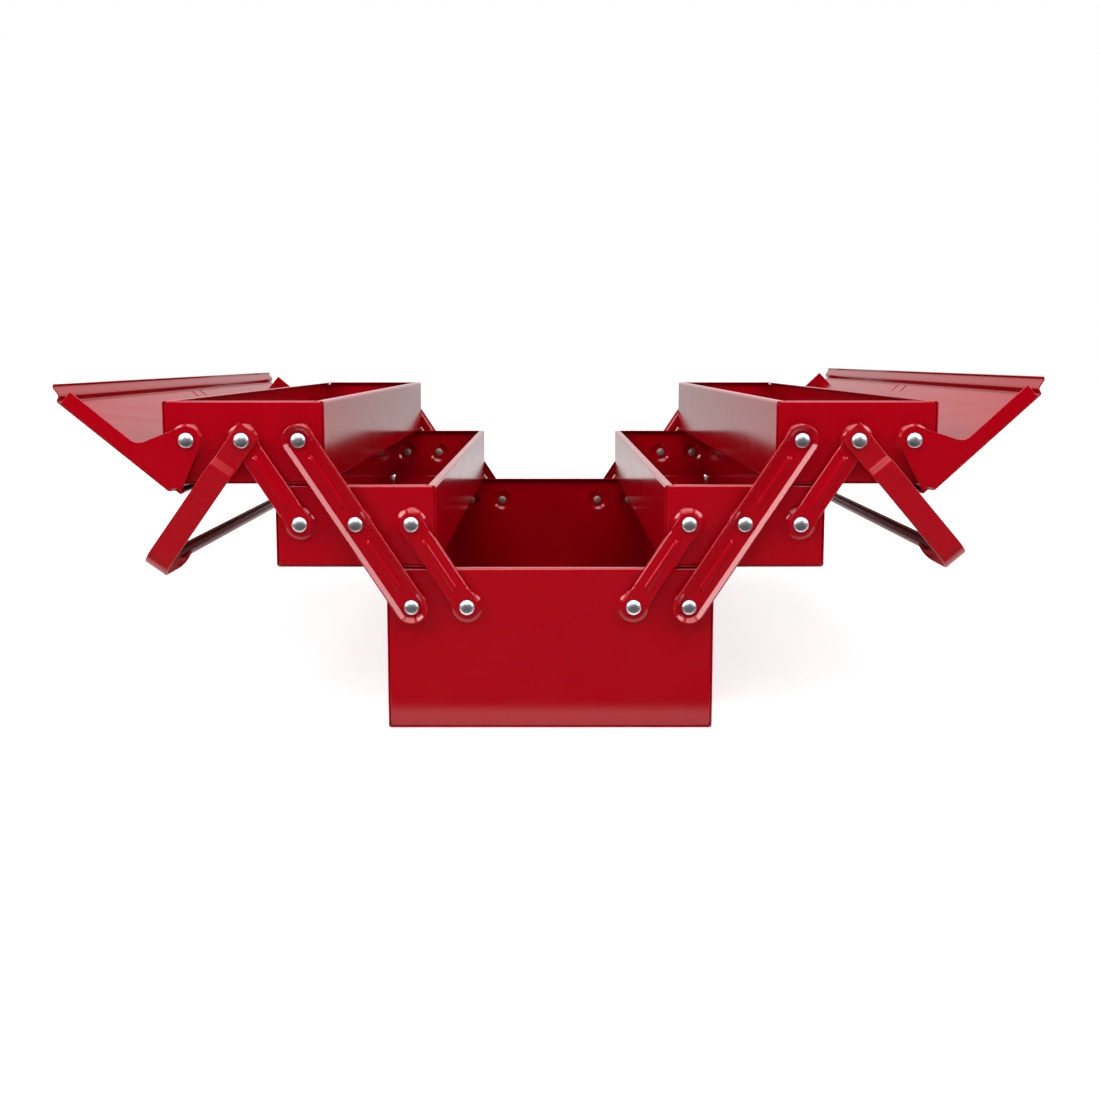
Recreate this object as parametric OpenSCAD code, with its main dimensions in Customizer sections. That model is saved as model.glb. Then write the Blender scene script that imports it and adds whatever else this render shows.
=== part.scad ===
// Cantilever tool box, five compartments, drawn fully open.
// X runs across the box, Y along its length with the near end at -Y, Z up.
// The origin is on the floor under the middle of the bottom box.

/* [Bottom box] */
// Width of the bottom box over its long sides
box_w = 200; // [190:1:230]
// Length of every compartment over its end faces
box_l = 530; // [400:5:600]
// Height of the bottom box
box_h = 100; // [80:1:140]

/* [Trays] */
// Width of each of the four trays
tray_w = 97.5; // [92:0.5:98.5]
// Height of each of the four trays
tray_h = 50; // [46:1:60]
// Air between a tray and the rim below it
tray_gap = 1; // [0.6:0.1:3]

/* [Sheet steel] */
// Thickness of the compartments' sheet
sheet_t = 0.8; // [0.6:0.1:1]
// Outer radius of the bend between floor and long sides
bend_r = 2; // [1.5:0.1:3]
// Outer radius of the bend at the rims
rim_r = 1.4; // [1.2:0.1:2]
// Width of the hem folded inward along the rims
hem_w = 5; // [3:0.5:8]
// Outer radius of the bends of an end panel
panel_bend_r = 1.4; // [1.2:0.1:2]
// Depth of the end panels' welding flanges
flange_w = 10; // [6:1:14]
// Relief cut where two bends of an end panel meet
corner_relief = 0.8; // [0.4:0.1:1.5]

/* [Linkage] */
// Sideways offset of an arm's upper pivot from its lower one when open
arm_shift = 33.4; // [28:0.1:36]
// Distance of the pivots below the rim of their compartment
pivot_drop = 23.5; // [22:0.5:26]
// Spacing of neighbouring pivots on one compartment
pivot_gap = 33.7; // [30:0.1:35]
// Distance of the bottom box's outer pivots from its long side
pivot_inset = 15.5; // [13:0.5:20]
// Base radius of the round boss pressed out at each pivot
boss_r = 9.8; // [9:0.1:11]
// Radius of the boss's flat top
boss_top_r = 7.4; // [7:0.1:8]
// Height of the bosses
boss_h = 2; // [1.6:0.1:2.6]

/* [Arms] */
// Sheet thickness of the arms
arm_t = 1.2; // [1:0.1:1.6]
// Half width of a long arm over its flared rim
long_arm_r = 10.1; // [9.6:0.1:11]
// Half width of a long arm at the foot of its web
long_foot_r = 6.6; // [6.4:0.1:7]
// Rise of a long arm's flared rim over its foot
flare_h = 3.8; // [3:0.1:4.2]
// Half width of a short arm
short_arm_r = 7.5; // [7:0.1:8.5]
// Depth that a short arm's sides turn toward the wall
short_lip = 1.5; // [0.8:0.1:1.6]
// Height of the stiffening beads in the arms
bead_h = 1; // [0.6:0.1:1.4]
// Radius of the beads' round back
bead_r = 4; // [3:0.1:5]
// Distance of a bead's end from the nearest pivot
bead_inset = 14; // [13.5:0.5:16]

/* [Rivets] */
// Diameter of the rivets' shanks
rivet_d = 5; // [4:0.1:5.4]
// Diameter of the domed heads
head_d = 9.3; // [8:0.1:9.6]
// Height of the domed heads
head_h = 2.6; // [2:0.1:3]
// Diameter of the upset tails inside the compartments
tail_d = 8; // [7:0.1:9]
// Thickness of the upset tails
tail_h = 0.7; // [0.5:0.1:1]
// Radial running clearance of a bore round its rivet
bore_clear = 0.075; // [0.05:0.005:0.1]
// Air between parts that turn face to face
turn_gap = 0.2; // [0.15:0.05:0.3]

/* [Lids] */
// Opening angle of the left lid
left_lid_angle = 140.4; // [120:0.1:142]
// Opening angle of the right lid
right_lid_angle = 137; // [120:0.1:142]
// Sheet thickness of the lid panels
lid_t = 0.8; // [0.6:0.1:1]
// Height of a closed lid's top over its pivot
lid_rise = 31.2; // [31:0.1:34]
// Reach of the flat panel outward from the pivot
lid_back = 11.1; // [9:0.1:12]
// Reach of the flat panel inward from the pivot
lid_reach = 74.2; // [70:0.1:76]
// Depth of the ledge step along the inner edge
ledge_drop = 5.3; // [4:0.1:6.4]
// Width of the ledge beyond the panel
ledge_w = 7.7; // [7:0.1:9.4]
// Bulge of the cross-broken panel at its centre
cross_rise = 1.5; // [0.5:0.1:3]
// Flat border of the panel round the cross-break
cross_border = 12; // [10:1:20]
// Spacing of the two slots in the lid's middle
slot_pitch = 22; // [10:1:40]
// Width of the two slots
slot_w = 3; // [1:0.2:4]
// Length of the two slots
slot_l = 8; // [4:0.5:9]
// Thickness of the lids' ears
ear_t = 1; // [0.8:0.1:1.2]
// Radius of an ear's round end
ear_r = 8.7; // [8:0.1:9.5]
// Width of an ear's strip under the panel's edge
ear_strip = 9.3; // [6:0.1:9.5]
// Reach of an ear's strip inward from the pivot
ear_reach = 71.5; // [60:0.5:73]
// Distance inward from the pivot where an ear's strip begins
ear_throat = 21.6; // [18:0.1:26]

/* [Handles] */
// Direction of the open left handle below the horizontal
left_handle_dip = 54.6; // [45:0.1:60]
// Direction of the open right handle below the horizontal
right_handle_dip = 49.6; // [45:0.1:60]
// Width of the handle strip
strap_w = 15.2; // [12:0.1:16]
// Thickness of the handle strip
strap_t = 1.6; // [1.2:0.1:2]
// Length of the strip beyond its pivot
strap_tail = 8; // [7:0.5:10]
// Distance from the pivot where the strip steps outward
joggle_at = 17; // [14:0.5:18]
// Run of the outward step
joggle_run = 4.5; // [3:0.5:6]
// Outward step of the strip
joggle_h = 2.8; // [2.6:0.1:3.4]
// Distance of the grip's outer face from the pivots
grip_reach = 97; // [90:0.1:98]
// Outer radius of the bend between strap and grip
grip_bend_r = 12; // [6:0.5:14]
// Length along the box that stays flat behind the bend
grip_flat = 24; // [10:1:30]
// Length over which the edges roll inward
grip_roll = 32; // [15:1:50]
// Mean radius of the rolled grip
grip_r = 3.7; // [3.4:0.1:4.5]

/* [Hidden] */
$fn = 48;
arc_n = 5;
eps = 0.01;
level = tray_h + tray_gap;
pivot_z = box_h - pivot_drop;
arm_pitch = norm([arm_shift, level]);
arm_lean = atan2(arm_shift, level);
long_x = box_w / 2 - pivot_inset;
inner_x = long_x - pivot_gap;
lid_x = long_x + 2 * arm_shift + 2 * pivot_gap;
handle_x = lid_x - pivot_gap;
arm_z = boss_h + turn_gap;
arm_top = arm_z + arm_t;
rim_z = arm_z + flare_h;
ear_z = boss_h + turn_gap;
ear_top = ear_z + ear_t;
strap_z = arm_top + turn_gap;
arm_head = arm_top + turn_gap;
ear_head = ear_top + turn_gap;
strap_head = strap_z + strap_t + turn_gap;
bore_r = rivet_d / 2 + bore_clear;
lid_l = box_l + 2 * ear_top;
lip_start = boss_r + 1;
side_steps = 6;
roll_steps = 6;
bend_steps = 8;
strap_ease = 1.5;
grip_overlap = 1;
short_edge_in = 0.5;
tab_relief = 0.2;
slot_end = 1.5;
skirt_drop = 3.1;
skirt_w = 6.6;
skirt_run = 2.2;
skirt_lip = 3.8;
lip_run = 1;
ledge_run = 0.8;
ledge_rise = 1.6;
ledge_lip = 2;
edge_run = 0.9;
lid_ease = 1.4;
ear_air = 0.4;
ear_slope = 1.4;

paint = [0.72, 0.02, 0.06];
deep_paint = [0.62, 0.02, 0.06];
zinc = [0.78, 0.8, 0.82];

// Outlines

function unit(v) = v / norm(v);

function left_normal(a, b) = let (d = unit(b - a)) [-d[1], d[0]];

// A point of a path, moved to the path's left by t with a mitred corner
function beside(path, i, t) =
    let (
        last = len(path) - 1,
        n1 = left_normal(path[max(i - 1, 0)], path[max(i, 1)]),
        n2 = left_normal(path[min(i, last - 1)], path[min(i + 1, last)])
    )
    path[i] + t * (n1 + n2) / (1 + n1 * n2);

// Outline of a sheet whose outer face follows a path
function ribbon(path, t) =
    concat(path, [for (i = [len(path) - 1 : -1 : 0]) beside(path, i, t)]);

function arc(c, r, a0, a1, n = arc_n) =
    [for (k = [0 : n]) c + r * [cos(a0 + (a1 - a0) * k / n), sin(a0 + (a1 - a0) * k / n)]];

// A path with every corner cut by a parabola that starts at most size before it
function eased(path, size, n = 3) =
    concat(
        [path[0]],
        [for (i = [1 : len(path) - 2])
            let (
                p = path[i],
                before = path[i - 1] - p,
                after = path[i + 1] - p,
                a = p + unit(before) * min(size, norm(before) * 0.45),
                b = p + unit(after) * min(size, norm(after) * 0.45)
            )
            for (k = [0 : n])
                let (s = k / n)
                (1 - s) * (1 - s) * a + 2 * s * (1 - s) * p + s * s * b],
        [path[len(path) - 1]]
    );

// Where the tangent from point p touches a circle of radius r round the origin
function tangent_angle(p, r, turn) = atan2(p[1], p[0]) + turn * acos(r / norm(p));

// Floor and long sides of a compartment, with the hems along its rims
function trough_path(w, h) = concat(
    [[-w / 2 + hem_w, h]],
    arc([-w / 2 + rim_r, h - rim_r], rim_r, 90, 180),
    arc([-w / 2 + bend_r, bend_r], bend_r, 180, 270),
    arc([w / 2 - bend_r, bend_r], bend_r, 270, 360),
    arc([w / 2 - rim_r, h - rim_r], rim_r, 0, 90),
    [[w / 2 - hem_w, h]]
);

// Bend and flange along the edge of an end panel
function flange_outline(r, leg) =
    ribbon(concat(arc([0, r], r, -90, 0), [[r, leg]]), sheet_t);

// Places

// Puts a shape drawn on the face of a compartment's end, with its height outward
module on_end(rear) {
    if (rear)
        translate([0, box_l / 2, 0]) rotate([90, 0, 180]) mirror([1, 0, 0]) children();
    else
        translate([0, -box_l / 2, 0]) rotate([90, 0, 0]) children();
}

module on_side(right) {
    if (right)
        mirror([1, 0, 0]) children();
    else
        children();
}

// Extrudes an outline drawn in Y and Z along X, centred
module along_x(length) {
    translate([-length / 2, 0, 0]) rotate([90, 0, 90]) linear_extrude(length) children();
}

// Middle of a tray of the left stack when the box is open
function tray_x(tier) = -(box_w / 2 + 2 * tier * arm_shift - tray_w / 2);

function tray_z(tier) = box_h + tray_gap + (tier - 1) * level;

// Pivots of a tray, measured from its middle
function tray_pivots(tier) =
    let (first = long_x + tier * arm_shift + (tier - 2) * pivot_gap)
    [for (k = [0 : 2]) -(first + k * pivot_gap) - tray_x(tier)];

box_pivots = [-long_x, -inner_x, inner_x, long_x];

// Compartments

// Trough whose hems stop short of the end panels' rim bends
module trough(w, h) {
    difference() {
        translate([0, box_l / 2, 0]) rotate([90, 0, 0])
            linear_extrude(box_l) polygon(ribbon(trough_path(w, h), sheet_t));
        for (end = [-1, 1])
            translate([0, end * box_l / 2, h]) cube([w - 2 * rim_r, 2 * rim_r, 2 * rim_r], center = true);
    }
}

module boss() {
    cylinder(h = boss_h, r1 = boss_r, r2 = boss_top_r);
}

// Hollow behind a boss, and the hole for the rivet
module boss_hollow() {
    translate([0, 0, -sheet_t])
        cylinder(h = boss_h, r1 = boss_r, r2 = boss_top_r);
    translate([0, 0, -sheet_t - 1]) cylinder(h = 1 + eps, r = boss_r);
    translate([0, 0, -sheet_t]) cylinder(h = boss_h + 2 * sheet_t, r = rivet_d / 2);
}

module side_flange(w, h) {
    low = sheet_t + panel_bend_r + corner_relief;
    high = h - rim_r - corner_relief;
    translate([w / 2 - sheet_t - panel_bend_r, -box_l / 2, low])
        linear_extrude(high - low) polygon(flange_outline(panel_bend_r, flange_w));
}

module panel_face(w, h) {
    half = w / 2 - sheet_t - panel_bend_r;
    low = sheet_t + panel_bend_r;
    translate([-half, -box_l / 2, low]) cube([2 * half, sheet_t, h - rim_r - low]);
}

// Rim bend of an end panel, and its hem, which stops short of the trough's hems
module panel_rim(w, h) {
    translate([0, -box_l / 2, h - rim_r]) difference() {
        along_x(w - 2 * (rim_r + corner_relief))
            polygon([for (p = flange_outline(rim_r, hem_w)) [p[1], p[0]]]);
        for (side = [-1, 1])
            translate([side * (w / 2 - corner_relief - hem_w / 2), rim_r + hem_w / 2, rim_r])
                cube([hem_w, hem_w, 3 * rim_r], center = true);
    }
}

// End panel: a face with a flange on each side and below, and a hem along its rim
module front_panel(w, h, pivots) {
    low_w = w - 2 * (sheet_t + panel_bend_r + corner_relief);
    difference() {
        union() {
            panel_face(w, h);
            side_flange(w, h);
            mirror([1, 0, 0]) side_flange(w, h);
            translate([0, -box_l / 2, sheet_t + panel_bend_r]) along_x(low_w)
                polygon([for (p = flange_outline(panel_bend_r, flange_w)) [p[1], -p[0]]]);
            panel_rim(w, h);
            on_end(false) for (x = pivots) translate([x, h - pivot_drop, 0]) boss();
        }
        on_end(false) for (x = pivots) translate([x, h - pivot_drop, 0]) boss_hollow();
    }
}

module end_panel(w, h, pivots, rear) {
    if (rear)
        mirror([0, 1, 0]) front_panel(w, h, pivots);
    else
        front_panel(w, h, pivots);
}

module bottom_box_trough() {
    color(paint) trough(box_w, box_h);
}

module bottom_box_panel(rear) {
    color(deep_paint) end_panel(box_w, box_h, box_pivots, rear);
}

module tray_trough(tier, right) {
    color(paint) on_side(right) translate([tray_x(tier), 0, tray_z(tier)]) trough(tray_w, tray_h);
}

module tray_panel(tier, right, rear) {
    color(deep_paint) on_side(right) translate([tray_x(tier), 0, tray_z(tier)])
        end_panel(tray_w, tray_h, tray_pivots(tier), rear);
}

// Arms, drawn along X from their lower pivot with their height outward

module arm_bores(count) {
    for (k = [0 : count - 1])
        translate([k * arm_pitch, 0, -eps]) cylinder(h = rim_z + 1, r = bore_r);
}

// Solid with round ends whose half width grows with height
module flared_bar(length, z0, r0, z1, r1) {
    for (x = [0, length])
        translate([x, 0, z0]) cylinder(h = z1 - z0, r1 = r0, r2 = r1);
    rotate([90, 0, 90]) linear_extrude(length)
        polygon([[-r0, z0], [r0, z0], [r1, z1], [-r1, z1]]);
}

// Pill-shaped bead between two pivots, standing on the web
module bead(start) {
    z = arm_top + bead_h - bead_r;
    length = arm_pitch - 2 * bead_inset;
    intersection() {
        translate([start + bead_inset, 0, z]) {
            rotate([0, 90, 0]) cylinder(h = length, r = bead_r);
            sphere(r = bead_r);
            translate([length, 0, 0]) sphere(r = bead_r);
        }
        translate([start, -bead_r, arm_top - arm_t / 2]) cube([arm_pitch, 2 * bead_r, bead_h + arm_t]);
    }
}

module long_arm() {
    slope = (long_arm_r - long_foot_r) / flare_h;
    wall = arm_t * norm([1, slope]);
    web_r = long_foot_r + slope * arm_t - wall;
    inner_h = flare_h - arm_t + eps;
    difference() {
        union() {
            difference() {
                flared_bar(2 * arm_pitch, arm_z, long_foot_r, rim_z, long_arm_r);
                flared_bar(2 * arm_pitch, arm_top, web_r, arm_top + inner_h, web_r + slope * inner_h);
            }
            bead(0);
            bead(arm_pitch);
        }
        arm_bores(3);
    }
}

module short_arm() {
    edge_r = arm_t + short_edge_in;
    lip_path = concat(
        [[-short_arm_r, arm_z - short_lip]],
        arc([-short_arm_r + edge_r, arm_top - edge_r], edge_r, 180, 90),
        arc([short_arm_r - edge_r, arm_top - edge_r], edge_r, 90, 0),
        [[short_arm_r, arm_z - short_lip]]
    );
    tab_r = short_arm_r - tab_relief;
    difference() {
        union() {
            for (x = [0, arm_pitch])
                translate([x, 0, arm_z]) cylinder(h = arm_t, r = tab_r);
            translate([0, -tab_r, arm_z]) cube([lip_start, 2 * tab_r, arm_t]);
            translate([arm_pitch - lip_start, -tab_r, arm_z]) cube([lip_start, 2 * tab_r, arm_t]);
            translate([lip_start, 0, 0]) rotate([90, 0, 90])
                linear_extrude(arm_pitch - 2 * lip_start) polygon(ribbon(lip_path, -arm_t));
            bead(0);
        }
        arm_bores(2);
    }
}

// Puts a left arm with its lower pivot at x, z, leaning outward as when open
module lean(x, z, right, rear) {
    color(paint) on_side(right) on_end(rear)
        translate([-x, z, 0]) rotate([0, 0, 90 + arm_lean]) children();
}

module long_arm_at(right, rear) {
    lean(long_x, pivot_z, right, rear) long_arm();
}

module lower_arm_at(right, rear) {
    lean(inner_x, pivot_z, right, rear) short_arm();
}

module upper_arm_at(right, rear) {
    lean(long_x + arm_shift + pivot_gap, pivot_z + level, right, rear) short_arm();
}

// Rivets, drawn with their height outward

module rivet(head_z) {
    tail_z = boss_h - sheet_t;
    tail_r = tail_d / 2;
    shank_r = rivet_d / 2;
    head_r = head_d / 2;
    edge_h = 0.4;
    rotate_extrude() polygon(concat(
        [[0, tail_z - tail_h], [tail_r, tail_z - tail_h], [tail_r, tail_z]],
        [[shank_r, tail_z], [shank_r, head_z], [head_r, head_z]],
        [for (a = [0 : 10 : 90])
            [head_r * cos(a), head_z + edge_h + (head_h - edge_h) * sin(a)]]
    ));
}

module rivet_row(xs, z, heads) {
    for (rear = [false, true])
        on_end(rear)
            for (k = [0 : len(xs) - 1])
                translate([xs[k], z, 0]) rivet(heads[k]);
}

module bottom_box_rivets() {
    color(zinc) rivet_row(box_pivots, pivot_z, [for (x = box_pivots) arm_head]);
}

module tray_rivets(tier, right) {
    heads = tier == 1 ? [arm_head, arm_head, arm_head] : [arm_head, strap_head, ear_head];
    color(zinc) on_side(right)
        rivet_row([for (x = tray_pivots(tier)) x + tray_x(tier)], pivot_z + tier * level, heads);
}

// Lids, drawn closed with their pivot at the origin, X inward and Y up

lid_path = eased([
    [-lid_back - skirt_w - lip_run, lid_rise - skirt_drop - skirt_lip],
    [-lid_back - skirt_w, lid_rise - skirt_drop],
    [-lid_back - skirt_run, lid_rise - skirt_drop],
    [-lid_back, lid_rise],
    [lid_reach, lid_rise],
    [lid_reach + ledge_run, lid_rise - ledge_drop + ledge_rise],
    [lid_reach + ledge_w - edge_run, lid_rise - ledge_drop],
    [lid_reach + ledge_w, lid_rise - ledge_drop - ledge_lip]
], lid_ease);

// Four shallow triangles of sheet that rise to the middle of the panel
module cross_break(x0, x1, half_l) {
    mid = (x0 + x1) / 2;
    rim = [[x0, -half_l], [x1, -half_l], [x1, half_l], [x0, half_l]];
    low = lid_rise - lid_t;
    polyhedron(
        points = concat(
            [for (p = rim) [p[0], lid_rise, p[1]]],
            [for (p = rim) [p[0], low, p[1]]],
            [[mid, lid_rise + cross_rise, 0], [mid, low + cross_rise, 0]]
        ),
        faces = concat(
            [for (k = [0 : 3]) [k, (k + 1) % 4, 8]],
            [for (k = [0 : 3]) [4 + (k + 1) % 4, 4 + k, 9]],
            [for (k = [0 : 3]) [(k + 1) % 4, k, 4 + (k + 1) % 4]],
            [for (k = [0 : 3]) [4 + (k + 1) % 4, k, 4 + k]]
        )
    );
}

module lid_panel() {
    slot_x = lid_reach - slot_l - slot_end;
    x0 = -lid_back + 2 * slot_end;
    x1 = slot_x - slot_end;
    half_l = lid_l / 2 - cross_border;
    difference() {
        union() {
            difference() {
                translate([0, 0, -lid_l / 2]) linear_extrude(lid_l) polygon(ribbon(lid_path, -lid_t));
                translate([x0, lid_rise - 2 * lid_t, -half_l]) cube([x1 - x0, 3 * lid_t, 2 * half_l]);
            }
            cross_break(x0, x1, half_l);
        }
        for (side = [-1, 1])
            translate([slot_x, lid_rise - 2 * lid_t, side * slot_pitch / 2 - slot_w / 2])
                cube([slot_l, 3 * lid_t, slot_w]);
    }
}

// Ear plate, drawn in X and Y with its height outward
module ear() {
    top = lid_rise - lid_t;
    outer = [-lid_back - skirt_w + lid_t, lid_rise - skirt_drop - lid_t - ear_air];
    throat = [ear_throat, top - ear_strip];
    a0 = tangent_angle(outer, ear_r, 1);
    a1 = 360 + tangent_angle(throat, ear_r, -1);
    difference() {
        translate([0, 0, ear_z]) linear_extrude(ear_t) polygon(concat(
            arc([0, 0], ear_r, a0, a1, 16),
            [throat, [ear_reach, throat[1]], [ear_reach, top]],
            [[-lid_back + lip_run, top], [-lid_back - ear_slope, outer[1]], outer]
        ));
        translate([0, 0, ear_z - 1]) cylinder(h = ear_t + 2, r = bore_r);
    }
}

// Turns a closed left lid open about its pivot
module swing_lid(right) {
    angle = right ? right_lid_angle : left_lid_angle;
    on_side(right) translate([-lid_x, 0, pivot_z + 2 * level]) rotate([0, -angle, 0]) children();
}

module lid_panel_at(right) {
    color(paint) swing_lid(right) rotate([90, 0, 0]) lid_panel();
}

module ear_at(right, rear) {
    color(deep_paint) swing_lid(right) on_end(rear) ear();
}

// Handles, drawn with the pivot axis on Y and the strap along X

// Outer face of the front strap, from its tail to the flat stretch of the grip
function strap_path() =
    let (
        near = -(box_l / 2 + strap_z + strap_t),
        far = near - joggle_h,
        flat_end = -box_l / 2 + grip_flat
    )
    concat(
        eased([
            [-strap_tail, near],
            [joggle_at, near],
            [joggle_at + joggle_run, far],
            [grip_reach - grip_bend_r, far]
        ], strap_ease),
        arc([grip_reach - grip_bend_r, far + grip_bend_r], grip_bend_r,
            -90 + 90 / bend_steps, 0, bend_steps - 1),
        [[grip_reach, flat_end]]
    );

// Section of the rolled strip: curl is 0 where it is flat and 1 in the grip
function roll_section(y, curl) =
    let (
        turn = curl * strap_w / grip_r * 90 / PI,
        radius = curl == 0 ? 0 : grip_r / curl
    )
    [for (face = [1, -1])
        for (k = [0 : 2 * side_steps])
            let (
                s = face * (k / side_steps - 1),
                depth = (face > 0 ? 0 : strap_t)
            )
            curl == 0
                ? [grip_reach - depth, y, s * strap_w / 2]
                : [grip_reach - strap_t / 2 - radius + (radius + strap_t / 2 - depth) * cos(s * turn),
                   y,
                   (radius + strap_t / 2 - depth) * sin(s * turn)]];

roll_start = -box_l / 2 + grip_flat;
ramp = [for (k = [0 : roll_steps]) k / roll_steps];
front_rings = [for (s = ramp) [roll_start + s * grip_roll, s * s * (3 - 2 * s)]];
rear_rings = [for (k = [roll_steps : -1 : 0]) [-front_rings[k][0], front_rings[k][1]]];
rings = concat(
    [[roll_start - grip_overlap, 0]],
    front_rings, rear_rings,
    [[-roll_start + grip_overlap, 0]]
);

module rolled_grip() {
    half = 2 * side_steps + 1;
    n = 2 * half;
    last = len(rings) - 1;
    polyhedron(
        points = [for (ring = rings) each roll_section(ring[0], ring[1])],
        faces = concat(
            [for (k = [0 : half - 2]) [n - 1 - k, n - 2 - k, k + 1, k]],
            [for (k = [0 : half - 2])
                [for (i = [k, k + 1, n - 2 - k, n - 1 - k]) last * n + i]],
            [for (r = [0 : last - 1])
                for (k = [0 : n - 1])
                    let (a = r * n + k, b = r * n + (k + 1) % n)
                    each [[a, b, a + n], [b, b + n, a + n]]]
        )
    );
}

module front_strap() {
    difference() {
        translate([0, 0, -strap_w / 2]) linear_extrude(strap_w) polygon(ribbon(strap_path(), strap_t));
        rotate([90, 0, 0]) cylinder(h = box_l, r = bore_r);
    }
}

module handle(right) {
    dip = right ? right_handle_dip : left_handle_dip;
    color(paint) on_side(right)
        translate([-handle_x, 0, pivot_z + 2 * level]) rotate([0, 180 - dip, 0]) {
            front_strap();
            mirror([0, 1, 0]) front_strap();
            rolled_grip();
        }
}

bottom_box_trough();
bottom_box_panel(false);  // bottom_box_front_panel
bottom_box_panel(true);  // bottom_box_rear_panel
tray_trough(1, false);  // left_middle_tray_trough
tray_panel(1, false, false);  // left_middle_tray_front_panel
tray_panel(1, false, true);  // left_middle_tray_rear_panel
tray_trough(1, true);  // right_middle_tray_trough
tray_panel(1, true, false);  // right_middle_tray_front_panel
tray_panel(1, true, true);  // right_middle_tray_rear_panel
tray_trough(2, false);  // left_top_tray_trough
tray_panel(2, false, false);  // left_top_tray_front_panel
tray_panel(2, false, true);  // left_top_tray_rear_panel
tray_trough(2, true);  // right_top_tray_trough
tray_panel(2, true, false);  // right_top_tray_front_panel
tray_panel(2, true, true);  // right_top_tray_rear_panel
lid_panel_at(false);  // left_lid_panel
ear_at(false, false);  // left_lid_front_ear
ear_at(false, true);  // left_lid_rear_ear
lid_panel_at(true);  // right_lid_panel
ear_at(true, false);  // right_lid_front_ear
ear_at(true, true);  // right_lid_rear_ear
handle(false);  // left_handle
handle(true);  // right_handle
long_arm_at(false, false);  // left_front_long_arm
long_arm_at(false, true);  // left_rear_long_arm
long_arm_at(true, false);  // right_front_long_arm
long_arm_at(true, true);  // right_rear_long_arm
lower_arm_at(false, false);  // left_front_lower_arm
lower_arm_at(false, true);  // left_rear_lower_arm
lower_arm_at(true, false);  // right_front_lower_arm
lower_arm_at(true, true);  // right_rear_lower_arm
upper_arm_at(false, false);  // left_front_upper_arm
upper_arm_at(false, true);  // left_rear_upper_arm
upper_arm_at(true, false);  // right_front_upper_arm
upper_arm_at(true, true);  // right_rear_upper_arm
bottom_box_rivets();
tray_rivets(1, false);  // left_middle_tray_rivets
tray_rivets(1, true);  // right_middle_tray_rivets
tray_rivets(2, false);  // left_top_tray_rivets
tray_rivets(2, true);  // right_top_tray_rivets
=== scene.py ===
# %% [markdown]
# # A cantilever tool box, dressed for its portrait
# The box comes from the CAD model as a fixed frame of plain solids. This lesson makes the pressed
# and folded sheet again as smooth surfaces, paints it, and sets up the camera and the lights.
# Every length in the functions is in millimetres, because that is how sheet metal is drawn.

# %% Load the frame
import math

import bmesh
import bpy
import numpy as np
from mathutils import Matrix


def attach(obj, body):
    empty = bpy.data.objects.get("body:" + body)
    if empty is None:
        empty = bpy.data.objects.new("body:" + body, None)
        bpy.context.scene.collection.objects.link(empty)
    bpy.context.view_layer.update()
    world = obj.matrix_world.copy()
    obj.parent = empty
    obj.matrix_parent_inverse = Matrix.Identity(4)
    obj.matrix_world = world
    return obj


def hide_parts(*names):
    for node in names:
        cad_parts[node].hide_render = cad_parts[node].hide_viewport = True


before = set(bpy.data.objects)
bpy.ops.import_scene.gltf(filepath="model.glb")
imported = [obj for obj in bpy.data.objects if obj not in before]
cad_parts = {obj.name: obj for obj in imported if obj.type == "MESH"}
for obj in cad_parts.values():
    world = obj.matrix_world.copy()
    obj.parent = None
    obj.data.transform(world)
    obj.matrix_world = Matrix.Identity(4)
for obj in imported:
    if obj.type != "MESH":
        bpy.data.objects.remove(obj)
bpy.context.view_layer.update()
MM = 0.001

# %% [markdown]
# ## The numbers that the maker works from
# The box stands on the floor with its near end towards the camera. X runs across, Y along its
# length and Z up. All pivots sit on straight lines, so a few lengths place every piece.

# %% Sizes of the compartments and the linkage
BOX_W, BOX_L, BOX_H = 200.0, 530.0, 100.0
TRAY_W, TRAY_H, TRAY_GAP = 97.5, 50.0, 1.0
SHEET = 0.8
END_Y = BOX_L / 2
ARM_SHIFT, PIVOT_DROP, PIVOT_GAP, PIVOT_INSET = 33.4, 23.5, 33.7, 15.5
LEVEL = TRAY_H + TRAY_GAP
PIVOT_Z = BOX_H - PIVOT_DROP
LONG_X = BOX_W / 2 - PIVOT_INSET
INNER_X = LONG_X - PIVOT_GAP
LID_X = LONG_X + 2 * ARM_SHIFT + 2 * PIVOT_GAP
HANDLE_X = LID_X - PIVOT_GAP
ARM_PITCH = math.hypot(ARM_SHIFT, LEVEL)
ARM_LEAN = math.atan2(ARM_SHIFT, LEVEL)
SIDES = {"left": -1, "right": 1}
print("pivot pitch of an arm: %.2f mm, leaning %.2f degrees" % (ARM_PITCH, math.degrees(ARM_LEAN)))

# %% [markdown]
# ## One way to make sheet metal
# Sheet could be a flat mesh with a Solidify modifier, but at a bend that gives uneven walls. Here
# a sheet is a grid of points on its outer face, the same grid moved inward along the surface's
# normals by the thickness, and a strip that joins the two along every free edge. Cells that are
# switched off leave slots and the notches where two bends meet.

# %% Grids, normals and the closed shell
def smooth(x):
    """3x^2 - 2x^3 between 0 and 1: a step with soft ends."""
    x = np.clip(x, 0.0, 1.0)
    return x * x * (3 - 2 * x)


def unit(v):
    """Each vector divided by its length."""
    return v / np.maximum(np.linalg.norm(v, axis=-1, keepdims=True), 1e-12)


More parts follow.
